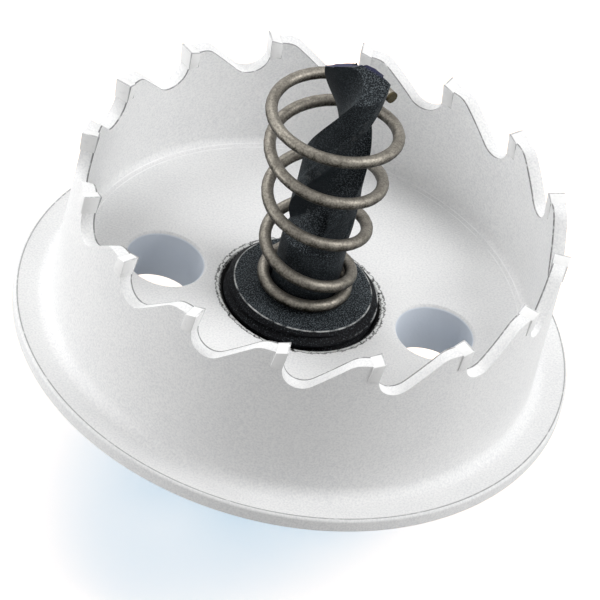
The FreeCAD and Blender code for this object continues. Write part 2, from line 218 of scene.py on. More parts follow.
def lamp(name, azimuth, elevation, power):
    """A square soft lamp that faces the cutter, at an azimuth from +X and an elevation in degrees."""
    turn_left = Matrix.Rotation(math.radians(azimuth), 3, "Z")
    turn_up = Matrix.Rotation(-math.radians(elevation), 3, "Y")
    outwards = turn_left @ turn_up @ Vector((LAMP_DISTANCE, 0, 0))
    bpy.ops.object.light_add(type="AREA", location=LAMP_AIM + outwards)
    made = bpy.context.object
    made.name = name
    made.data.size = LAMP_WIDTH
    made.data.energy = power
    made.rotation_mode = "QUATERNION"
    made.rotation_quaternion = outwards.to_track_quat("Z", "Y")


lamp("back_lamp", 135, 50, 0.93)
lamp("right_lamp", 0, 50, 1.3)
lamp("low_left_lamp", 180, 15, 0.9)
lamp("low_right_lamp", 0, 20, 0.50)
lamp("skimming_lamp", 205, 7, 0.7)
bpy.context.scene.view_settings.view_transform = "Standard"

# The camera is a metre away on a long lens, 40 degrees above the bench and rolled to the left, so
# the cutter leans to the right in the picture. The slug holes lie almost level across the view.
CAMERA_AZIMUTH = math.radians(0.95)
CAMERA_ELEVATION = math.radians(40.03)
CAMERA_ROLL = math.radians(14.71)
CAMERA_DISTANCE = 1.01885
CAMERA_RIGHT = 0.00114
CAMERA_UP = 0.00397
CAMERA_AIM = Vector((0, 0, 0.019))
CAMERA_LENS = 600.0
CAMERA_SENSOR = 36.0
CAMERA_NEAREST = 0.1
CAMERA_FARTHEST = 10.0

turn_round = Matrix.Rotation(CAMERA_AZIMUTH, 4, "Z")
turn_down = Matrix.Rotation(math.pi / 2 - CAMERA_ELEVATION, 4, "X")
turn_over = Matrix.Rotation(CAMERA_ROLL, 4, "Z")
stand = Matrix.Translation(CAMERA_AIM) @ turn_round @ turn_down @ turn_over
bpy.ops.object.camera_add()
camera = bpy.context.object
camera.matrix_world = stand @ Matrix.Translation((CAMERA_RIGHT, CAMERA_UP, CAMERA_DISTANCE))
camera.data.lens = CAMERA_LENS
camera.data.sensor_width = CAMERA_SENSOR
camera.data.clip_start = CAMERA_NEAREST
camera.data.clip_end = CAMERA_FARTHEST
bpy.context.scene.camera = camera

# The cutter cup is turned from one piece of steel: a flange, a thick base and a thin wall. Two holes
# for knocking out slugs are drilled through the base, sixteen teeth are milled in the wall, and the
# whole cup is painted white. The paint stops at the tapped hole, where the bare metal shows.
MM = 0.001
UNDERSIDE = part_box("cutter_body")[0].z
FLANGE_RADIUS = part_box("cutter_body")[1].x
TOOTH_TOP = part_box("carbide_tip_01")[1].z
FLANGE_THICKNESS = 1.6 * MM
RIM_ROUNDING = 0.3 * MM
CUT_RADIUS = 25.4 * MM
KERF_WIDTH = 1.87 * MM
OUTER_SIDE_CLEARANCE = 0.24 * MM
INNER_SIDE_CLEARANCE = 0.18 * MM
WALL_OUTSIDE = CUT_RADIUS - OUTER_SIDE_CLEARANCE
WALL_INSIDE = CUT_RADIUS - KERF_WIDTH + INNER_SIDE_CLEARANCE
WALL_FOOT_ROUNDING = 1.3 * MM
FLOOR_HEIGHT = UNDERSIDE + 6.0 * MM
FLOOR_ROUNDING = 0.8 * MM
SHOULDER_DROP = 0.4 * MM
CLEARANCE = 0.02 * MM
THREAD_RADIUS = 15.875 / 2 * MM
TAPPED_RADIUS = THREAD_RADIUS + CLEARANCE
HOLE_CHAMFER = 0.5 * MM
SLUG_HOLE_RADIUS = 7.94 / 2 * MM
SLUG_HOLE_PLACE = 14.16 * MM
SLUG_HOLE_CHAMFER = 0.3 * MM
TOOTH_COUNT = 16
TOOTH_PITCH = 2 * math.pi / TOOTH_COUNT
FIRST_TOOTH = math.radians(114.3)
HOOK = math.radians(6)
FLANK_SLOPE = math.radians(42)
GULLET_DEPTH = 4.3 * MM
GULLET_ROUNDING = 1.95 * MM
SHOULDER_ROUNDING = 2.0 * MM
TIP_LENGTH = 1.2 * MM
TIP_DEPTH = 2.4 * MM
CUTTER_REACH = 1.0 * MM
EDGE_ROUNDING = 0.1 * MM
TURNING_STEPS = 240
HOLE_STEPS = 72
ARC_STEP = math.radians(9)
SMOOTH_BELOW = math.radians(28)
SQUARE_ON = 0.999
DOUBLES = 0.000001
SLIVERS = 0.0000001


def rounded(corners):
    """Points of a closed outline from (x, y, rounding radius) corners, each rounding as an arc."""
    points = []
    for number, (x, y, radius) in enumerate(corners):
        corner = Vector((x, y))
        if not radius:
            points.append(corner)
            continue
        back = (Vector(corners[number - 1][:2]) - corner).normalized()
        ahead = (Vector(corners[(number + 1) % len(corners)][:2]) - corner).normalized()
        half = back.angle(ahead) / 2
        centre = corner + (back + ahead).normalized() * (radius / math.sin(half))
        spoke = corner + back * (radius / math.tan(half)) - centre
        turn = (math.pi - 2 * half) * (1 if back.cross(ahead) < 0 else -1)
        steps = max(2, round(abs(turn) / ARC_STEP))
        for step in range(steps + 1):
            points.append(centre + Matrix.Rotation(turn * step / steps, 2) @ spoke)
    return points


def outline(name, points):
    """A closed chain of edges through some points, in edit mode and selected."""
    bpy.ops.object.select_all(action="DESELECT")
    bpy.ops.mesh.primitive_circle_add(vertices=len(points), radius=1)
    piece = bpy.context.object
    piece.name = name
    for vertex, point in zip(piece.data.vertices, points):
        vertex.co = point
    bpy.ops.object.mode_set(mode="EDIT")
    bpy.ops.mesh.select_all(action="SELECT")
    return piece


def close_up():
    """Merge double points, point all faces outwards and leave edit mode."""
    bpy.ops.mesh.select_all(action="SELECT")
    bpy.ops.mesh.remove_doubles(threshold=DOUBLES)
    bpy.ops.mesh.dissolve_degenerate(threshold=SLIVERS)
    bpy.ops.mesh.select_all(action="SELECT")
    bpy.ops.mesh.normals_make_consistent(inside=False)
    bpy.ops.object.mode_set(mode="OBJECT")


def turned(name, corners, steps=TURNING_STEPS):
    """Turn an outline of (radius, height, rounding) corners about the tool's axis."""
    piece = outline(name, [Vector((r, 0, z)) for r, z in rounded(corners)])
    bpy.ops.mesh.spin(steps=steps, angle=2 * math.pi, center=(0, 0, 0), axis=(0, 0, 1))
    close_up()
    return piece


def milled(name, corners, start, end):
    """A bar along X between two places, with a section of (y, z, rounding) corners."""
    piece = outline(name, [Vector((start, y, z)) for y, z in rounded(corners)])
    bpy.ops.mesh.edge_face_add()
    bpy.ops.mesh.extrude_region_move(TRANSFORM_OT_translate={"value": (end - start, 0, 0)})
    close_up()
    return piece


def ring_of(piece, angles):
    """Copies of a piece at some angles about the tool's axis, joined to one object."""
    copies = []
    for angle in angles:
        copy = piece.copy()
        copy.data = piece.data.copy()
        copy.data.transform(Matrix.Rotation(angle, 4, "Z"))
        bpy.context.collection.objects.link(copy)
        copies.append(copy)
    bpy.data.objects.remove(piece)
    bpy.ops.object.select_all(action="DESELECT")
    for copy in copies:
        copy.select_set(True)
    bpy.context.view_layer.objects.active = copies[0]
    bpy.ops.object.join()
    return copies[0]


def combine(piece, other, operation="DIFFERENCE"):
    """Cut a piece with another, or join or intersect them, and remove the other."""
    change = piece.modifiers.new("cut", "BOOLEAN")
    change.operation = operation
    change.object = other
    change.solver = "EXACT"
    bpy.context.view_layer.objects.active = piece
    bpy.ops.object.modifier_apply(modifier=change.name)
    bpy.data.objects.remove(other)


def select_only(piece):
    bpy.ops.object.select_all(action="DESELECT")
    piece.select_set(True)
    bpy.context.view_layer.objects.active = piece


def soften(piece, finish, width, limit=SMOOTH_BELOW):
    """Round the piece's edges a little, shade it smooth between them and give it its finish."""
    select_only(piece)
    edge = piece.modifiers.new("edges", "BEVEL")
    edge.width = width
    edge.segments = 2
    edge.limit_method = "ANGLE"
    edge.angle_limit = limit
    edge.miter_outer = "MITER_ARC"
    bpy.ops.object.modifier_apply(modifier=edge.name)
    bpy.ops.object.shade_smooth_by_angle(angle=limit)
    piece.data.materials.clear()
    piece.data.materials.append(finish)


def spoke_to(point):
    """The direction from the tool's axis to a point."""
    return Vector((point.x, point.y, 0)).normalized()


def shade_round(piece):
    """Shade the faces that are turned about the tool's axis as truly round, whatever cuts them."""
    mesh = piece.data
    normals = [Vector(normal.vector) for normal in mesh.corner_normals]
    for polygon in mesh.polygons:
        facing = polygon.normal.dot(spoke_to(polygon.center))
        if abs(facing) > SQUARE_ON:
            for loop in polygon.loop_indices:
                corner = mesh.vertices[mesh.loops[loop].vertex_index].co
                normals[loop] = spoke_to(corner) * math.copysign(1, facing)
    mesh.normals_split_custom_set(normals)


def tooth_angles():
    return [FIRST_TOOTH + TOOTH_PITCH * number for number in range(TOOTH_COUNT)]


shoulder = TOOTH_TOP - SHOULDER_DROP
cup = turned("cutter_cup", [
    (TAPPED_RADIUS + HOLE_CHAMFER, UNDERSIDE, 0),
    (FLANGE_RADIUS, UNDERSIDE, RIM_ROUNDING),
    (FLANGE_RADIUS, UNDERSIDE + FLANGE_THICKNESS, RIM_ROUNDING),
    (WALL_OUTSIDE, UNDERSIDE + FLANGE_THICKNESS, WALL_FOOT_ROUNDING),
    (WALL_OUTSIDE, shoulder, 0),
    (WALL_INSIDE, shoulder, 0),
    (WALL_INSIDE, FLOOR_HEIGHT, FLOOR_ROUNDING),
    (TAPPED_RADIUS + HOLE_CHAMFER, FLOOR_HEIGHT, 0),
    (TAPPED_RADIUS, FLOOR_HEIGHT - HOLE_CHAMFER, 0),
    (TAPPED_RADIUS, UNDERSIDE + HOLE_CHAMFER, 0),
])

# A gullet is one pass of a milling cutter: down the hooked rake face, round the bottom, up the flank
# of the tooth ahead and over its shoulder. It is set out from the cutting edge that it leads to.
cot_slope = 1 / math.tan(FLANK_SLOPE)
root_z = GULLET_ROUNDING - GULLET_DEPTH
root_y = (GULLET_ROUNDING + root_z * math.sin(HOOK)) / math.cos(HOOK)
flank_foot_y = root_y + GULLET_ROUNDING * math.sin(FLANK_SLOPE)
flank_foot_z = root_z - GULLET_ROUNDING * math.cos(FLANK_SLOPE)
corner_z = (flank_foot_y - flank_foot_z * cot_slope) / (math.tan(HOOK) - cot_slope)
flank_top_y = flank_foot_y - (SHOULDER_DROP + flank_foot_z) * cot_slope
shoulder_y = flank_top_y + SHOULDER_ROUNDING * math.tan(FLANK_SLOPE / 2)
gullet_start = WALL_INSIDE * math.cos(TOOTH_PITCH) - CUTTER_REACH
wheel = milled("gullets", [
    (CUTTER_REACH * math.tan(HOOK), TOOTH_TOP + CUTTER_REACH, 0),
    (corner_z * math.tan(HOOK), TOOTH_TOP + corner_z, GULLET_ROUNDING),
    (flank_top_y, TOOTH_TOP - SHOULDER_DROP, SHOULDER_ROUNDING),
    (shoulder_y, TOOTH_TOP - SHOULDER_DROP, 0),
    (shoulder_y, TOOTH_TOP + CUTTER_REACH, 0),
], gullet_start, CUT_RADIUS + CUTTER_REACH)
combine(cup, ring_of(wheel, tooth_angles()))

seat_top = CUTTER_REACH * math.tan(HOOK)
seat_foot = -TIP_DEPTH * math.tan(HOOK)
slotter = milled("tip_seats", [
    (seat_top + CUTTER_REACH / 2, TOOTH_TOP + CUTTER_REACH, 0),
    (seat_top - TIP_LENGTH, TOOTH_TOP + CUTTER_REACH, 0),
    (seat_foot - TIP_LENGTH, TOOTH_TOP - TIP_DEPTH, 0),
    (seat_foot + CUTTER_REACH / 2, TOOTH_TOP - TIP_DEPTH, 0),
], WALL_INSIDE - CUTTER_REACH, CUT_RADIUS + CUTTER_REACH)
combine(cup, ring_of(slotter, tooth_angles()))

wide = SLUG_HOLE_RADIUS + SLUG_HOLE_CHAMFER + CUTTER_REACH
drill_bit = turned("slug_holes", [
    (0, UNDERSIDE - CUTTER_REACH, 0),
    (wide, UNDERSIDE - CUTTER_REACH, 0),
    (SLUG_HOLE_RADIUS, UNDERSIDE + SLUG_HOLE_CHAMFER, 0),
    (SLUG_HOLE_RADIUS, FLOOR_HEIGHT - SLUG_HOLE_CHAMFER, 0),
    (wide, FLOOR_HEIGHT + CUTTER_REACH, 0),
    (0, FLOOR_HEIGHT + CUTTER_REACH, 0),
], steps=HOLE_STEPS)
drill_bit.data.transform(Matrix.Translation((SLUG_HOLE_PLACE, 0, 0)))
combine(cup, ring_of(drill_bit, (0, math.pi)))

PAINT_WHITE = (0.90, 0.90, 0.895, 1)
PAINT_SHADE = (0.76, 0.765, 0.775, 1)
EDGE_LINE_DARK = (0.20, 0.20, 0.205, 1)
FILLET_HIGHLIGHT_WHITE = (1.0, 1.0, 1.0, 1)
HOLE_GREY = (0.74, 0.79, 0.86, 1)
BARE_STEEL = (0.68, 0.69, 0.68, 1)
PIT_AND_SHADE_BLACK = (0.03, 0.03, 0.03, 1)
BARE_RADIUS = 8.72 * MM
GAP_SHADE_RADIUS = 8.3 * MM
BLOTCH_SIZE = 7 * MM
GRAIN_SIZE = 0.20 * MM
PEEL_SIZE = 0.45 * MM
PEEL_DEPTH = 0.012 * MM
paint = Finish("white_paint")
radius = paint.from_axis()
height = paint.height()
blotches = paint.noise(BLOTCH_SIZE, detail=3).above(0.35, 0.7)
grain = paint.noise(GRAIN_SIZE, detail=2)
coat = paint.mix(blotches * 0.2 + (grain - 0.5) * 2.8 + 0.3, PAINT_WHITE, PAINT_SHADE)

# A fine dark line runs along two sharp edges: the inner edge of the teeth and the upper edge of the
# rim.
past_wall = radius.above(WALL_INSIDE + 0.005 * MM, WALL_INSIDE + 0.02 * MM)
on_teeth = past_wall * (1 - radius.above(WALL_INSIDE + 0.12 * MM, WALL_INSIDE + 0.22 * MM))
on_teeth = on_teeth * height.above(FLOOR_HEIGHT + 2 * MM, TOOTH_TOP - 7 * MM)
on_rim = radius.near(FLANGE_RADIUS - RIM_ROUNDING, 0.12 * MM)
on_rim = on_rim * height.above(UNDERSIDE + 0.8 * MM, UNDERSIDE + 1.5 * MM)
dark_edge_line = (on_teeth + on_rim * 0.8) * paint.noise(0.6 * MM, detail=4).above(0.15, 0.5)
coat = paint.mix(dark_edge_line, coat, EDGE_LINE_DARK)

# Two fine painted highlights run in the rounding between the floor and the wall, where it catches the
# light.
fillet_highlights = radius.near(WALL_INSIDE - 0.95 * MM, 0.10 * MM)
fillet_highlights = fillet_highlights + radius.near(WALL_INSIDE - 0.45 * MM, 0.08 * MM)
fillet_highlights = fillet_highlights * height.above(FLOOR_HEIGHT - 0.1 * MM, FLOOR_HEIGHT - 0.01 * MM)
coat = paint.mix(fillet_highlights * paint.noise(3 * MM).above(0.3, 0.6), coat, FILLET_HIGHLIGHT_WHITE)

# The walls of the slug holes are coloured a pale bluish grey.
across = paint.place().part("X", "SeparateXYZ").maths("ABSOLUTE") - SLUG_HOLE_PLACE
along = paint.place().part("Y", "SeparateXYZ")
from_hole = (across * across + along * along) ** 0.5
in_hole = 1 - from_hole.above(SLUG_HOLE_RADIUS + 0.02 * MM, SLUG_HOLE_RADIUS + 0.14 * MM)
coat = paint.mix(in_hole, coat, HOLE_GREY)

# The edge of the paint round the tapped hole is ragged, with a dark line along it.
ragged = radius + (paint.noise(0.5 * MM, detail=3, roughness=0.6) - 0.5) * (0.9 * MM)
bare = 1 - ragged.above(BARE_RADIUS - 0.03 * MM, BARE_RADIUS + 0.03 * MM)
paint_edge_line = ragged.near(BARE_RADIUS + 0.02 * MM, 0.13 * MM) * paint.noise(0.5 * MM).above(0.25, 0.42)
pits = paint.noise(0.35 * MM, detail=4).above(0.56, 0.64)
steel = paint.mix(pits, BARE_STEEL, PIT_AND_SHADE_BLACK)
# Painted shade: inside a ragged radius the chamfer next to the nose is black, for the gap between the
# cup and the nose.
shade_edge_radius = radius + (paint.noise(0.35 * MM, detail=3, roughness=0.6) - 0.5) * (0.9 * MM)
steel = paint.mix(shade_edge_radius.above(GAP_SHADE_RADIUS - 0.04 * MM, GAP_SHADE_RADIUS + 0.02 * MM), PIT_AND_SHADE_BLACK, steel)
surface = paint.mix(paint_edge_line * 0.9, paint.mix(bare, coat, steel), PIT_AND_SHADE_BLACK)
peel = paint.noise(PEEL_SIZE, detail=3) + grain * 0.8
paint.coat(Base_Color=surface, Metallic=bare * 0.3, Roughness=0.6 - bare * 0.1, Specular_IOR_Level=0.3,
           Normal=paint.bump(peel, PEEL_DEPTH))
soften(cup, paint.material, EDGE_ROUNDING)
shade_round(cup)
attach(cup, "root")
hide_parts("cutter_body")

# Each carbide tip is a ground block, brazed into its seat at the front of a tooth before the cup is
# painted. It is a little wider than the wall, and narrows downwards and backwards from its edge.
TIP_SIDE_TAPER = math.radians(3)
TIP_BACK_TAPER = 0.06 * MM
TIP_EDGE_ROUNDING = 0.05 * MM
TIP_WHITE = (0.88, 0.88, 0.875, 1)
TIP_GREY = (0.70, 0.705, 0.715, 1)
CARBIDE_GREY = (0.30, 0.30, 0.31, 1)

# The paint covers the tips too. It is scuffed thin on them, and gone along the cutting edge itself.
# A fine dark line also runs along the inner edge of their tops.
carbide = Finish("carbide")
scuffs = carbide.noise(0.5 * MM, detail=4).above(0.52, 0.75)
cutting_edge = carbide.height().above(TOOTH_TOP - 0.07 * MM, TOOTH_TOP - 0.04 * MM)
dark_edges = cutting_edge * carbide.noise(0.7 * MM).above(0.25, 0.55) * 0.7
inside = CUT_RADIUS - KERF_WIDTH
inner_edge = 1 - carbide.from_axis().above(inside + 0.14 * MM, inside + 0.26 * MM)
dark_edges = dark_edges.maths("MAXIMUM", inner_edge * (1 - carbide.facing_axis().above(0.6, 0.9)) * 0.9)
painted = carbide.mix(scuffs * 0.4, TIP_WHITE, TIP_GREY)
carbide.coat(Base_Color=carbide.mix(dark_edges, painted, CARBIDE_GREY), Metallic=dark_edges * 0.5,
             Roughness=0.5 - dark_edges * 0.1,
             Normal=carbide.bump(carbide.noise(0.15 * MM), 0.003 * MM))
for number, angle in enumerate(tooth_angles(), start=1):
    bpy.ops.object.select_all(action="DESELECT")
    bpy.ops.mesh.primitive_cube_add(size=2)
    tip = bpy.context.object
    tip.name = "brazed_tip_%02d" % number
    for vertex in tip.data.vertices:
        outer, leading, upper = (side > 0 for side in vertex.co)
        back = 0 if leading else TIP_LENGTH
        drop = (0 if leading else SHOULDER_DROP) if upper else TIP_DEPTH
        narrowing = 0 if leading else TIP_BACK_TAPER
        if not upper:
            narrowing += (TIP_DEPTH - (0 if leading else SHOULDER_DROP)) * math.tan(TIP_SIDE_TAPER)
        radius = CUT_RADIUS - narrowing if outer else CUT_RADIUS - KERF_WIDTH + narrowing
        vertex.co = (radius, -back - drop * math.tan(HOOK), TOOTH_TOP - drop)
    tip.data.transform(Matrix.Rotation(angle, 4, "Z"))
    soften(tip, carbide.material, TIP_EDGE_ROUNDING)
    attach(tip, "root")
    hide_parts("carbide_tip_%02d" % number)

# The arbor is turned from one bar of steel and blackened. Its nose carries a 5/8 inch thread that
# screws into the cup up to the collar. Below the collar a short neck leads to the hexagonal shank.
THREAD_PITCH = 25.4 / 18 * MM
THREAD_DEPTH = 0.75 * MM
NOSE_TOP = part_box("ejector_spring")[0].z - CLEARANCE
NOSE_CHAMFER = 0.85 * MM
NOSE_EDGE_ROUNDING = 0.12 * MM
COLLAR_RADIUS = 9.5 * MM
COLLAR_FOOT = UNDERSIDE - 7.0 * MM
COLLAR_CHAMFER = 0.6 * MM
GROOVE_DEPTH = 0.9 * MM
GROOVE_WIDTH = 1.2 * MM
SHANK_CORNER_RADIUS = 11.11 / 2 / math.cos(math.radians(30)) * MM
SHANK_TOP = COLLAR_FOOT - 1.0 * MM
SHANK_CHAMFER = 0.5 * MM
SHANK_STEPS = 96
NECK_RADIUS = (11.11 / 2 - 0.5) * MM
NECK_OVERLAP = 0.3 * MM
DRILL_RADIUS = 6.8 / 2 * MM
DRILL_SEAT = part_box("pilot_drill")[0].z
DRILL_CLEARANCE = 0.015 * MM
BORE_RADIUS = DRILL_RADIUS + DRILL_CLEARANCE
SCREW_RADIUS = 2.5 * MM
SCREW_HOLE_STEPS = 48
SCREW_HEIGHT = (COLLAR_FOOT + UNDERSIDE) / 2
THREAD_ROWS = 60
THREAD_FLANKS = 2.6
BORE_COUNTERSINK = 0.35 * MM

thread_foot = UNDERSIDE + GROOVE_WIDTH + GROOVE_DEPTH
arbor = turned("threaded_arbor", [
    (0, SHANK_TOP - NECK_OVERLAP, 0),
    (NECK_RADIUS, SHANK_TOP - NECK_OVERLAP, 0),
    (NECK_RADIUS, COLLAR_FOOT, 0),
    (COLLAR_RADIUS - COLLAR_CHAMFER, COLLAR_FOOT, 0),
    (COLLAR_RADIUS, COLLAR_FOOT + COLLAR_CHAMFER, EDGE_ROUNDING),
    (COLLAR_RADIUS, UNDERSIDE - COLLAR_CHAMFER, EDGE_ROUNDING),
    (COLLAR_RADIUS - COLLAR_CHAMFER, UNDERSIDE, 0),
    (THREAD_RADIUS - GROOVE_DEPTH, UNDERSIDE, 0),
    (THREAD_RADIUS - GROOVE_DEPTH, thread_foot - GROOVE_DEPTH, 0),
    (THREAD_RADIUS, thread_foot, 0),
    (THREAD_RADIUS, NOSE_TOP - NOSE_CHAMFER, EDGE_ROUNDING),
    (THREAD_RADIUS - NOSE_CHAMFER, NOSE_TOP, NOSE_EDGE_ROUNDING),
    (0, NOSE_TOP, 0),
])

# The thread is cut into the plain nose. Rows of points are added along it, and each point moves in
# by the depth of the groove at its place on the helix.
bpy.ops.object.mode_set(mode="EDIT")
for row in range(1, THREAD_ROWS):
    bpy.ops.mesh.select_all(action="SELECT")
    height = thread_foot + (NOSE_TOP - thread_foot) * row / THREAD_ROWS
    bpy.ops.mesh.bisect(plane_co=(0, 0, height), plane_no=(0, 0, 1))
close_up()
for vertex in arbor.data.vertices:
    x, y, z = vertex.co
    radius = math.hypot(x, y)
    if radius > THREAD_RADIUS - THREAD_DEPTH and thread_foot < z < NOSE_TOP - 0.1 * MM:
        phase = (z / THREAD_PITCH - math.atan2(y, x) / (2 * math.pi)) % 1
        groove = max(0, 1 - abs(phase - 0.5) * THREAD_FLANKS) * THREAD_DEPTH
        share = min(radius, THREAD_RADIUS - groove) / radius
        vertex.co = (x * share, y * share, z)

envelope = turned("shank_envelope", [
    (0, 0, 0),
    (SHANK_CORNER_RADIUS - SHANK_CHAMFER, 0, 0),
    (SHANK_CORNER_RADIUS, SHANK_CHAMFER, 0),
    (SHANK_CORNER_RADIUS, SHANK_TOP - SHANK_CHAMFER, 0),
    (SHANK_CORNER_RADIUS - SHANK_CHAMFER, SHANK_TOP, 0),
    (0, SHANK_TOP, 0),
], steps=SHANK_STEPS)
bpy.ops.mesh.primitive_cylinder_add(vertices=6, radius=SHANK_CORNER_RADIUS, depth=2 * SHANK_TOP,
                                    location=(0, 0, SHANK_TOP / 2), rotation=(0, 0, math.pi / 6))
combine(envelope, bpy.context.object, "INTERSECT")
combine(arbor, envelope, "UNION")
combine(arbor, turned("bore", [
    (0, DRILL_SEAT, 0),
    (BORE_RADIUS, DRILL_SEAT, 0),
    (BORE_RADIUS, NOSE_TOP - BORE_COUNTERSINK, 0),
    (BORE_RADIUS + BORE_COUNTERSINK + CUTTER_REACH, NOSE_TOP + CUTTER_REACH, 0),
    (0, NOSE_TOP + CUTTER_REACH, 0),
], steps=HOLE_STEPS))
bpy.ops.mesh.primitive_cylinder_add(vertices=SCREW_HOLE_STEPS, radius=SCREW_RADIUS + CLEARANCE,
                                    depth=2 * COLLAR_RADIUS, rotation=(math.pi / 2, 0, 0),
                                    location=(0, -COLLAR_RADIUS, SCREW_HEIGHT))
combine(arbor, bpy.context.object)
select_only(arbor)
bpy.ops.object.shade_smooth_by_angle(angle=SMOOTH_BELOW)

OXIDE_BLACK = (0.004, 0.006, 0.008, 1)
OXIDE_GREY = (0.110, 0.128, 0.140, 1)
RUBBED_OR_HIGHLIT_STEEL = (0.62, 0.63, 0.62, 1)
# Painted shade for the chamfer and the thread of the nose:
SHADE_BLACK = (0.002, 0.002, 0.003, 1)
SPECKLE_SIZE = 0.13 * MM
SPECKLE_DEPTH = 0.006 * MM
CLOUD_SIZE = 2.5 * MM


def black_oxide(name, wear_or_highlights, painted_light_colour=OXIDE_BLACK, painted_light=None):
    """Blackened steel, with its speckles painted lighter on faces that point up, as light from above.
    One mask shows bright metal, for worn spots or painted highlights, and another, where given,
    paints in a second colour for painted shade or a painted sheen.
    """
    oxide = Finish(name)
    speckles = oxide.noise(SPECKLE_SIZE, detail=2).above(0.47, 0.64)
    clouds = oxide.noise(CLOUD_SIZE, detail=3).above(0.3, 0.7)
    rubbed_or_highlit = wear_or_highlights(oxide)
    # Painted light: the speckles show lighter on faces that point up, as if lit from above.
    painted_top_light = oxide.facing_up().above(-0.45, 0.9)
    dark = oxide.mix(speckles * (0.1 + painted_top_light * 0.8) + clouds * 0.1, OXIDE_BLACK, OXIDE_GREY)
    if painted_light:
        dark = oxide.mix(painted_light(oxide), dark, painted_light_colour)
    oxide.coat(Base_Color=oxide.mix(rubbed_or_highlit, dark, RUBBED_OR_HIGHLIT_STEEL), Metallic=rubbed_or_highlit * 0.3,
               Roughness=0.6 + (clouds - 0.5) * 0.1, Specular_IOR_Level=0.09,
               Normal=oxide.bump(speckles, SPECKLE_DEPTH))
    return oxide.material


def arbor_highlights(oxide):
    """Painted highlights lie here and there on the chamfer's edge and on the crests of the thread."""
    radius, height = oxide.from_axis(), oxide.height()
    chance = oxide.noise(1.3 * MM, detail=6, roughness=0.7)
    on_edge = radius.near(THREAD_RADIUS - NOSE_CHAMFER, 0.11 * MM)
    on_edge = on_edge * height.above(NOSE_TOP - 0.25 * MM, NOSE_TOP - 0.05 * MM)
    crest = radius.above(THREAD_RADIUS - 0.2 * MM, THREAD_RADIUS - 0.03 * MM)
    low = height.near(NOSE_TOP - NOSE_CHAMFER, 0.2 * MM)
    return on_edge * chance.above(0.38, 0.62) * 0.9 + crest * low * chance.above(0.46, 0.56)


def painted_chamfer_shade(oxide):
    """Painted shade keeps the chamfer and the thread, facing sideways, blacker than the nose's top."""
    edge = THREAD_RADIUS - NOSE_CHAMFER
    outside = oxide.from_axis().above(edge, edge + 0.1 * MM)
    return outside * (1 - oxide.noise(0.15 * MM).above(0.48, 0.64) * 0.5)


arbor.data.materials.append(black_oxide("arbor_black", arbor_highlights, SHADE_BLACK, painted_chamfer_shade))
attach(arbor, "root")
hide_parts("arbor")

# The set screw clamps the drill through the side of the collar. It is a short blackened screw with a
# hexagon socket and a cone point that bears on the flat of the drill's shank.
SCREW_HEAD = COLLAR_RADIUS - 0.4 * MM
SCREW_HEAD_CHAMFER = 0.3 * MM
SCREW_EDGE_ROUNDING = 0.03 * MM
SCREW_STEPS = 64
DRILL_FLAT_DEPTH = 0.35 * MM
SCREW_TIP = DRILL_RADIUS - DRILL_FLAT_DEPTH + CLEARANCE
SCREW_POINT_LENGTH = 1.0 * MM
SCREW_POINT_RADIUS = 1.5 * MM
SOCKET_ACROSS_FLATS = 2.5 * MM
SOCKET_DEPTH = 2.6 * MM
SCREW_PITCH = 0.8 * MM
SCREW_THREAD_DEPTH = 0.35 * MM

ridges = []
ridge = SCREW_TIP + SCREW_POINT_LENGTH + SCREW_PITCH / 2
while ridge < SCREW_HEAD - SCREW_PITCH:
    ridges += [(SCREW_RADIUS, ridge, 0),
               (SCREW_RADIUS - SCREW_THREAD_DEPTH, ridge + SCREW_PITCH / 2, 0)]
    ridge += SCREW_PITCH
screw = turned("set_screw", [
    (0, SCREW_TIP, 0),
    (SCREW_POINT_RADIUS, SCREW_TIP, 0),
    (SCREW_RADIUS - 0.1 * MM, SCREW_TIP + SCREW_POINT_LENGTH, 0),
    *ridges,
    (SCREW_RADIUS, ridge, 0),
    (SCREW_RADIUS, SCREW_HEAD - SCREW_HEAD_CHAMFER, 0),
    (SCREW_RADIUS - SCREW_HEAD_CHAMFER, SCREW_HEAD, 0),
    (0, SCREW_HEAD, 0),
], steps=SCREW_STEPS)
socket_radius = SOCKET_ACROSS_FLATS / 2 / math.cos(math.pi / 6)
bpy.ops.mesh.primitive_cylinder_add(vertices=6, radius=socket_radius, depth=2 * SOCKET_DEPTH,
                                    location=(0, 0, SCREW_HEAD))
combine(screw, bpy.context.object)
screw.data.transform(Matrix.Rotation(math.pi / 2, 4, "X"))
screw.data.transform(Matrix.Translation((0, 0, SCREW_HEIGHT)))


def screw_wear(oxide):
    """Small worn spots."""
    return oxide.noise(0.6 * MM).above(0.62, 0.8) * 0.4


soften(screw, black_oxide("screw_steel", screw_wear), SCREW_EDGE_ROUNDING)
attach(screw, "root")
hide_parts("pilot_set_screw")

# The pilot drill is a twist drill of blackened high speed steel. Two flutes are ground round
# it in a right-hand helix, a narrow margin runs along each, and two steep facets form its point.
DRILL_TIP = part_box("pilot_drill")[1].z
FLUTE_FOOT = DRILL_TIP - 22.5 * MM
FLUTE_RUN_OUT = 5.0 * MM
FLUTE_LEAD = 37.0 * MM
LIP_DIRECTION = math.radians(-10)
WEB = 0.9 * MM
LIP_ROOT = 0.6 * MM
HEEL = math.radians(117)
MARGIN_ARC = math.radians(20)
BODY_CLEARANCE = 0.13 * MM
POINT_ANGLE = math.radians(135)
LIP_RELIEF = math.radians(31)
DRILL_LAYERS = 110
ROOT_STEPS = 14
LAND_STEPS = 10
MARGIN_STEPS = 4
DRILL_SMOOTH_BELOW = math.radians(25)
# The point's painted sheen is violet:
PAINTED_SHEEN_VIOLET = (0.035, 0.036, 0.085, 1)

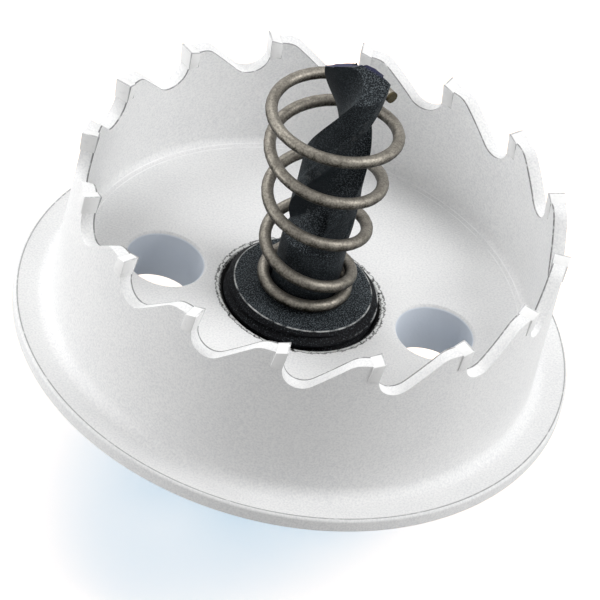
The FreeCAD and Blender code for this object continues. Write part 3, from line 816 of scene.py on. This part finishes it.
lip = Vector((math.sqrt(DRILL_RADIUS ** 2 - (WEB / 2) ** 2), WEB / 2))
root = Vector((LIP_ROOT, WEB / 2))
heel = Vector((math.cos(HEEL), math.sin(HEEL))) * (DRILL_RADIUS - BODY_CLEARANCE)
root_radius = ((root - heel).length_squared) / (2 * (heel.y - root.y))
root_centre = root + Vector((0, root_radius))
root_sweep = -(heel - root_centre).angle_signed(root - root_centre)
next_lip = math.pi + math.atan2(lip.y, lip.x)
half_section = [lip, lip.lerp(root, 0.33), lip.lerp(root, 0.67)]
for step in range(ROOT_STEPS):
    turn = Matrix.Rotation(-abs(root_sweep) * step / ROOT_STEPS, 2)
    half_section.append(root_centre + turn @ (root - root_centre))
half_section.append(heel)
for step in range(1, LAND_STEPS):
    angle = HEEL + (next_lip - MARGIN_ARC - HEEL) * step / LAND_STEPS
    half_section.append(Vector((math.cos(angle), math.sin(angle))) * (DRILL_RADIUS - BODY_CLEARANCE))
for step in range(MARGIN_STEPS):
    angle = next_lip - MARGIN_ARC * (1 - step / MARGIN_STEPS)
    half_section.append(Vector((math.cos(angle), math.sin(angle))) * DRILL_RADIUS)
section = half_section + [-point for point in half_section]

layer = (DRILL_TIP - FLUTE_FOOT) / DRILL_LAYERS
lip_height = DRILL_TIP - DRILL_RADIUS / math.tan(POINT_ANGLE / 2)
foot_turn = LIP_DIRECTION - 2 * math.pi * (lip_height - FLUTE_FOOT) / FLUTE_LEAD
drill = outline("twist_drill", [Vector((point.x, point.y, DRILL_SEAT)) for point in section])
bpy.ops.mesh.edge_face_add()
bpy.ops.mesh.extrude_region_move(TRANSFORM_OT_translate={"value": (0, 0, FLUTE_FOOT - DRILL_SEAT)})
for number in range(DRILL_LAYERS):
    bpy.ops.mesh.extrude_region_move(TRANSFORM_OT_translate={"value": (0, 0, layer)})
bpy.ops.object.mode_set(mode="OBJECT")
for vertex in drill.data.vertices:
    rise = vertex.co.z - FLUTE_FOOT
    flat = vertex.co.to_2d()
    run_out = DRILL_RADIUS * min(1, 1 - rise / FLUTE_RUN_OUT)
    flat *= max(flat.length, run_out) / flat.length
    turned_flat = Matrix.Rotation(foot_turn + 2 * math.pi * max(0, rise) / FLUTE_LEAD, 2) @ flat
    vertex.co = (turned_flat.x, turned_flat.y, vertex.co.z)
bpy.ops.object.mode_set(mode="EDIT")
for facing in (LIP_DIRECTION, LIP_DIRECTION + math.pi):
    tilt = Matrix.Rotation(math.pi / 2 - POINT_ANGLE / 2, 3, "Y")
    relief = Matrix.Rotation(LIP_RELIEF, 3, "X")
    facet = Matrix.Rotation(facing, 3, "Z") @ relief @ tilt @ Vector((0, 0, 1))
    bpy.ops.mesh.select_all(action="SELECT")
    bpy.ops.mesh.bisect(plane_co=(0, 0, DRILL_TIP), plane_no=facet, use_fill=True, clear_outer=True)
close_up()
select_only(drill)
bpy.ops.object.shade_smooth_by_angle(angle=DRILL_SMOOTH_BELOW)


def drill_wear(oxide):
    """The margins shine a little through the black along the fluted part."""
    fluted = oxide.height().above(FLUTE_FOOT + FLUTE_RUN_OUT, FLUTE_FOOT + FLUTE_RUN_OUT * 1.5)
    margin = oxide.from_axis().above(DRILL_RADIUS - BODY_CLEARANCE * 0.5, DRILL_RADIUS - 0.02 * MM)
    return margin * fluted * oxide.noise(0.7 * MM, detail=4).above(0.45, 0.75) * 0.05


def painted_point_sheen(oxide):
    """A painted violet sheen on the ground facet at the back of the point, where it faces up."""
    at_back = oxide.place().part("Y", "SeparateXYZ").above(0, 0.5 * MM)
    at_point = oxide.height().above(lip_height - 2 * MM, lip_height - MM)
    return at_point * oxide.facing_up().above(0.55, 0.7) * at_back


drill.data.materials.append(black_oxide("drill_black", drill_wear, PAINTED_SHEEN_VIOLET, painted_point_sheen))
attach(drill, "root")
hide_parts("pilot_drill")

# The ejector spring is a conical coil of drawn steel wire. Its small bottom coil grips the drill on
# top of the nose, and its free upper coils lean a little to the left.
WIRE_RADIUS = 0.63 * MM
COIL_TURNS = 5.3
COIL_TOP_RADIUS = 6.7 * MM
COIL_FOOT_RADIUS = DRILL_RADIUS + 0.25 * MM + WIRE_RADIUS
COIL_PITCH = 6.05 * MM
TOP_END_PITCH = 0.3 * MM
FOOT_END_PITCH = 0.4 * MM
TOP_END_ANGLE = math.radians(44)
TOP_OPENS = (0.45, 0.85)
FOOT_CLOSES = (3.75, 4.55)
COIL_LEAN = math.tan(math.radians(2.5))
STEPS_PER_TURN = 40
WIRE_STEPS = round(COIL_TURNS * STEPS_PER_TURN)
WIRE_END_ROUNDING = 0.08 * MM
WIRE_END_EDGE = math.radians(60)


def share_between(low, high, value):
    return min(max((value - low) / (high - low), 0), 1)


def fall_per_turn(turns):
    """How far the wire drops in each turn, at a number of turns from its top end."""
    pitch = TOP_END_PITCH + (COIL_PITCH - TOP_END_PITCH) * share_between(*TOP_OPENS, turns)
    return pitch + (FOOT_END_PITCH - pitch) * share_between(*FOOT_CLOSES, turns)


turn_step = COIL_TURNS / WIRE_STEPS
rises = [0.0]
for step in reversed(range(WIRE_STEPS)):
    rises.append(rises[-1] + fall_per_turn((step + 0.5) * turn_step) * turn_step)
rises.reverse()
wire = bpy.data.curves.new("coil_spring", "CURVE")
wire.dimensions = "3D"
wire.bevel_depth = WIRE_RADIUS
wire.bevel_resolution = 5
wire.use_fill_caps = True
strand = wire.splines.new("POLY")
strand.points.add(WIRE_STEPS)
for step, (point, rise) in enumerate(zip(strand.points, rises)):
    share = rise / rises[0]
    radius = COIL_FOOT_RADIUS + (COIL_TOP_RADIUS - COIL_FOOT_RADIUS) * share
    angle = TOP_END_ANGLE + 2 * math.pi * turn_step * step
    across = radius * math.cos(angle)
    height = NOSE_TOP + CLEARANCE + WIRE_RADIUS + rise + COIL_LEAN * across * share
    point.co = (across - COIL_LEAN * rise, radius * math.sin(angle), height, 1)
top_end = strand.points[0].co.to_3d()
spring = bpy.data.objects.new("coil_spring", wire)
bpy.context.collection.objects.link(spring)
select_only(spring)
bpy.ops.object.convert(target="MESH")
spring = bpy.context.object

WIRE_GREY = (0.27, 0.25, 0.215, 1)
WIRE_DARK = (0.012, 0.010, 0.006, 1)
CUT_END_DARK = (0.05, 0.04, 0.02, 1)
SCALE_SIZE = 0.9 * MM
FLECK_SIZE = 0.20 * MM
FLECK_DEPTH = 0.008 * MM
drawn = Finish("spring_wire")
scale = drawn.noise(SCALE_SIZE, detail=4).above(0.35, 0.7)
fleck = drawn.noise(FLECK_SIZE, detail=2).above(0.35, 0.65)
# Painted shade: the wire is darker where it faces down.
painted_underside_shade = 1 - drawn.facing_up().above(-0.6, 0.85)
strand_colour = drawn.mix(scale * 0.2 + fleck * 0.35 + painted_underside_shade * 0.8, WIRE_GREY, WIRE_DARK)
from_end = drawn.add("VectorMath", {"operation": "DISTANCE"},
                     {0: drawn.place(), 1: top_end}, output="Value")
cut_end = 1 - from_end.above(WIRE_RADIUS * 1.02, WIRE_RADIUS * 1.1)
drawn.coat(Base_Color=drawn.mix(cut_end, strand_colour, CUT_END_DARK), Metallic=0.85,
           Roughness=0.46 + scale * 0.12, Normal=drawn.bump(fleck, FLECK_DEPTH))
soften(spring, drawn.material, WIRE_END_ROUNDING, limit=WIRE_END_EDGE)
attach(spring, "root")
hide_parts("ejector_spring")
